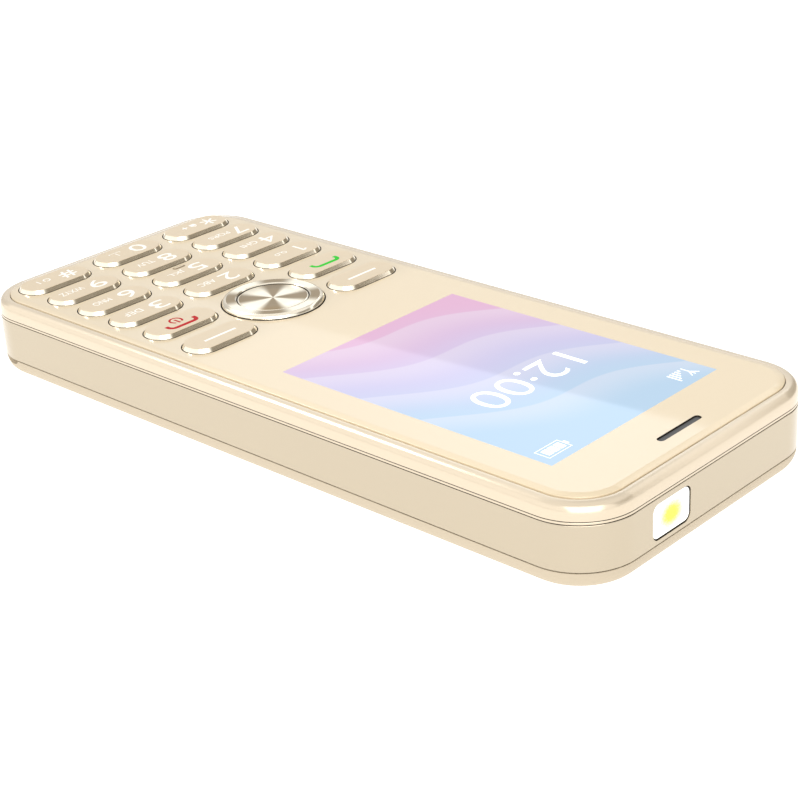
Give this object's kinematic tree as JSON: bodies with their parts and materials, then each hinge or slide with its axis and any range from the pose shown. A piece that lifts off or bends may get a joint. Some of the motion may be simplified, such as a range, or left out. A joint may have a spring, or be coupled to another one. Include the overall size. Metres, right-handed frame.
{
  "type": "candybar keypad phone",
  "caption": "Slim candybar phone with a colour screen, keypad, four-way ring, end torch, snap-off back cover and removable battery.",
  "frame": {"origin": "centre of the back cover's flat face, on the surface the phone lies on", "axes": "+Z out of the screen, +Y towards the earpiece end, +X to the user's right"},
  "size_m": [0.0522, 0.1248, 0.0132],
  "materials": {
    "bezel_gold": "polished",
    "lens_gold": "back-printed, gloss",
    "band_gold": "satin metallic lacquer",
    "cover_gold": "satin lacquer",
    "keycap_gold": "satin gloss",
    "ring_metal": "turned and anodised gold",
    "frame_black": "moulded",
    "board_green": "solder mask",
    "dome_film": "spring steel domes under film",
    "silicone": "translucent grey",
    "cage_steel": "plated",
    "screen": "lit picture",
    "grille_grey": "fine mesh",
    "battery_wrap": "printed wrap",
    "antenna_copper": "copper flex",
    "speaker_black": "moulded",
    "torch_clear": "milky light guide",
    "led_phosphor": "yellow phosphor",
    "screw_steel": "plated"
  },
  "bodies": {
    "root": {"front_housing": "bezel_gold", "faceplate_lens": "lens_gold", "mid_frame": "band_gold", "rear_frame": "frame_black", "main_board": "board_green", "keypad_dome_sheet": "dome_film", "keypad_membrane": "silicone", "display_tray": "cage_steel", "display_panel": "screen", "earpiece_grille": "grille_grey", "earpiece_receiver": "cage_steel", "battery_contacts": "frame_black", "sim_holder": "cage_steel", "memory_card_holder": "cage_steel", "shield_can": "cage_steel", "antenna": "antenna_copper", "loudspeaker": "speaker_black", "vibration_motor": "cage_steel", "microphone": "cage_steel", "usb_port": "cage_steel", "audio_jack": "frame_black", "torch_lens": "torch_clear", "torch_led": "led_phosphor", "screw_1": "screw_steel", "screw_2": "screw_steel", "screw_3": "screw_steel", "screw_4": "screw_steel", "screw_5": "screw_steel", "screw_6": "screw_steel"},
    "back_cover": {"back_cover": "cover_gold"},
    "battery": {"battery": "battery_wrap"},
    "nav_pad": {"nav_pad": "silicone"},
    "nav_ring": {"nav_ring": "ring_metal"},
    "ok_button": {"ok_button": "ring_metal"},
    "key_soft_left": {"key_soft_left": "keycap_gold"},
    "key_soft_right": {"key_soft_right": "keycap_gold"},
    "key_call": {"key_call": "keycap_gold"},
    "key_end": {"key_end": "keycap_gold"},
    "key_1": {"key_1": "keycap_gold"},
    "key_2": {"key_2": "keycap_gold"},
    "key_3": {"key_3": "keycap_gold"},
    "key_4": {"key_4": "keycap_gold"},
    "key_5": {"key_5": "keycap_gold"},
    "key_6": {"key_6": "keycap_gold"},
    "key_7": {"key_7": "keycap_gold"},
    "key_8": {"key_8": "keycap_gold"},
    "key_9": {"key_9": "keycap_gold"},
    "key_star": {"key_star": "keycap_gold"},
    "key_0": {"key_0": "keycap_gold"},
    "key_hash": {"key_hash": "keycap_gold"}
  },
  "joints": [
    {"name": "cover_pull", "type": "slide", "parent": "root", "child": "back_cover", "axis": [0, 0, -1], "range_m": [0, 0.02]},
    {"name": "battery_lift", "type": "slide", "parent": "root", "child": "battery", "axis": [0, 0, -1], "range_m": [0, 0.012]},
    {"name": "key_soft_left_press", "type": "slide", "parent": "root", "child": "key_soft_left", "axis": [0, 0, -1], "range_m": [0, 0.0003], "stiffness_N_per_m": 500},
    {"name": "key_soft_right_press", "type": "slide", "parent": "root", "child": "key_soft_right", "axis": [0, 0, -1], "range_m": [0, 0.0003], "stiffness_N_per_m": 500},
    {"name": "key_call_press", "type": "slide", "parent": "root", "child": "key_call", "axis": [0, 0, -1], "range_m": [0, 0.0003], "stiffness_N_per_m": 500},
    {"name": "key_end_press", "type": "slide", "parent": "root", "child": "key_end", "axis": [0, 0, -1], "range_m": [0, 0.0003], "stiffness_N_per_m": 500},
    {"name": "key_1_press", "type": "slide", "parent": "root", "child": "key_1", "axis": [0, 0, -1], "range_m": [0, 0.0003], "stiffness_N_per_m": 500},
    {"name": "key_2_press", "type": "slide", "parent": "root", "child": "key_2", "axis": [0, 0, -1], "range_m": [0, 0.0003], "stiffness_N_per_m": 500},
    {"name": "key_3_press", "type": "slide", "parent": "root", "child": "key_3", "axis": [0, 0, -1], "range_m": [0, 0.0003], "stiffness_N_per_m": 500},
    {"name": "key_4_press", "type": "slide", "parent": "root", "child": "key_4", "axis": [0, 0, -1], "range_m": [0, 0.0003], "stiffness_N_per_m": 500},
    {"name": "key_5_press", "type": "slide", "parent": "root", "child": "key_5", "axis": [0, 0, -1], "range_m": [0, 0.0003], "stiffness_N_per_m": 500},
    {"name": "key_6_press", "type": "slide", "parent": "root", "child": "key_6", "axis": [0, 0, -1], "range_m": [0, 0.0003], "stiffness_N_per_m": 500},
    {"name": "key_7_press", "type": "slide", "parent": "root", "child": "key_7", "axis": [0, 0, -1], "range_m": [0, 0.0003], "stiffness_N_per_m": 500},
    {"name": "key_8_press", "type": "slide", "parent": "root", "child": "key_8", "axis": [0, 0, -1], "range_m": [0, 0.0003], "stiffness_N_per_m": 500},
    {"name": "key_9_press", "type": "slide", "parent": "root", "child": "key_9", "axis": [0, 0, -1], "range_m": [0, 0.0003], "stiffness_N_per_m": 500},
    {"name": "key_star_press", "type": "slide", "parent": "root", "child": "key_star", "axis": [0, 0, -1], "range_m": [0, 0.0003], "stiffness_N_per_m": 500},
    {"name": "key_0_press", "type": "slide", "parent": "root", "child": "key_0", "axis": [0, 0, -1], "range_m": [0, 0.0003], "stiffness_N_per_m": 500},
    {"name": "key_hash_press", "type": "slide", "parent": "root", "child": "key_hash", "axis": [0, 0, -1], "range_m": [0, 0.0003], "stiffness_N_per_m": 500},
    {"name": "ok_press", "type": "slide", "parent": "root", "child": "ok_button", "axis": [0, 0, -1], "range_m": [0, 0.0003], "stiffness_N_per_m": 500},
    {"name": "nav_left_right", "type": "hinge", "parent": "root", "child": "nav_pad", "pos_m": [0, -0.02002, 0.0097], "axis": [0, 1, 0], "range_deg": [-1.5, 1.5], "stiffness_Nm_per_rad": 0.4},
    {"name": "nav_up_down", "type": "hinge", "parent": "nav_pad", "child": "nav_ring", "pos_m": [0, -0.02002, 0.0097], "axis": [1, 0, 0], "range_deg": [-1.5, 1.5], "stiffness_Nm_per_rad": 0.4}
  ],
  "couplings": [
    {"joint": "battery_lift", "follows": "cover_pull", "ratio": 0.6}
  ]
}
